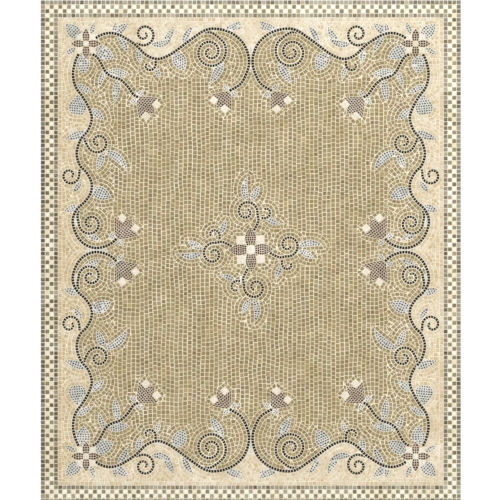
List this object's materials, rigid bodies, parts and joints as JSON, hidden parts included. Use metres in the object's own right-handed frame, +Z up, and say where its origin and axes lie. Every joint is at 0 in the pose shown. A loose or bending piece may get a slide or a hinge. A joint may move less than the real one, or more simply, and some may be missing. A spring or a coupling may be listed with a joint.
{
  "type": "mosaic panel",
  "caption": "Rectangular wall panel of small cut marble stones: a checker border, a vine scroll with buds and leaves, and a flower in the middle.",
  "frame": {"origin": "middle of the flat back that goes against the wall", "axes": "+Z up the panel, +X to the right as seen from the front, +Y out of the back into the wall, so the face looks along -Y"},
  "size_m": [1.0184, 0.0123, 1.218],
  "materials": {
    "glass_fibre_scrim": "open woven glass fibre, matt",
    "cement_mortar": "fine pale cement mortar, matt",
    "dark_olive_marble": "dark olive brown, honed",
    "olive_and_white_marble": "olive and white stones in turn, honed",
    "cream_marble": "warm cream, honed",
    "olive_marble": "olive and tan, honed",
    "rose_brown_marble": "rose brown, honed",
    "black_marble": "blue black, honed",
    "grey_blue_marble": "grey blue, honed",
    "white_marble": "warm white, honed"
  },
  "bodies": {
    "root": {"backing_mesh": "glass_fibre_scrim", "mortar_bed": "cement_mortar", "outer_line": "dark_olive_marble", "checker_border": "olive_and_white_marble", "inner_line": "dark_olive_marble", "cream_ground": "cream_marble", "olive_field": "olive_marble", "centre_flower": "rose_brown_marble", "corner_flower_top_left": "rose_brown_marble", "corner_flower_top_right": "rose_brown_marble", "corner_flower_low_left": "rose_brown_marble", "corner_flower_low_right": "rose_brown_marble", "top_bud_top_left": "rose_brown_marble", "top_bud_top_right": "rose_brown_marble", "top_bud_low_left": "rose_brown_marble", "top_bud_low_right": "rose_brown_marble", "diagonal_bud_top_left": "rose_brown_marble", "diagonal_bud_top_right": "rose_brown_marble", "diagonal_bud_low_left": "rose_brown_marble", "diagonal_bud_low_right": "rose_brown_marble", "side_bud_top_left": "rose_brown_marble", "side_bud_top_right": "rose_brown_marble", "side_bud_low_left": "rose_brown_marble", "side_bud_low_right": "rose_brown_marble", "top_sprig_top_left": "black_marble", "top_sprig_top_right": "black_marble", "top_sprig_low_left": "black_marble", "top_sprig_low_right": "black_marble", "diagonal_sprig_top_left": "black_marble", "diagonal_sprig_top_right": "black_marble", "diagonal_sprig_low_left": "black_marble", "diagonal_sprig_low_right": "black_marble", "side_sprig_top_left": "black_marble", "side_sprig_top_right": "black_marble", "side_sprig_low_left": "black_marble", "side_sprig_low_right": "black_marble", "centre_sprig_up": "black_marble", "centre_sprig_right": "black_marble", "centre_sprig_down": "black_marble", "centre_sprig_left": "black_marble"}
  },
  "joints": []
}
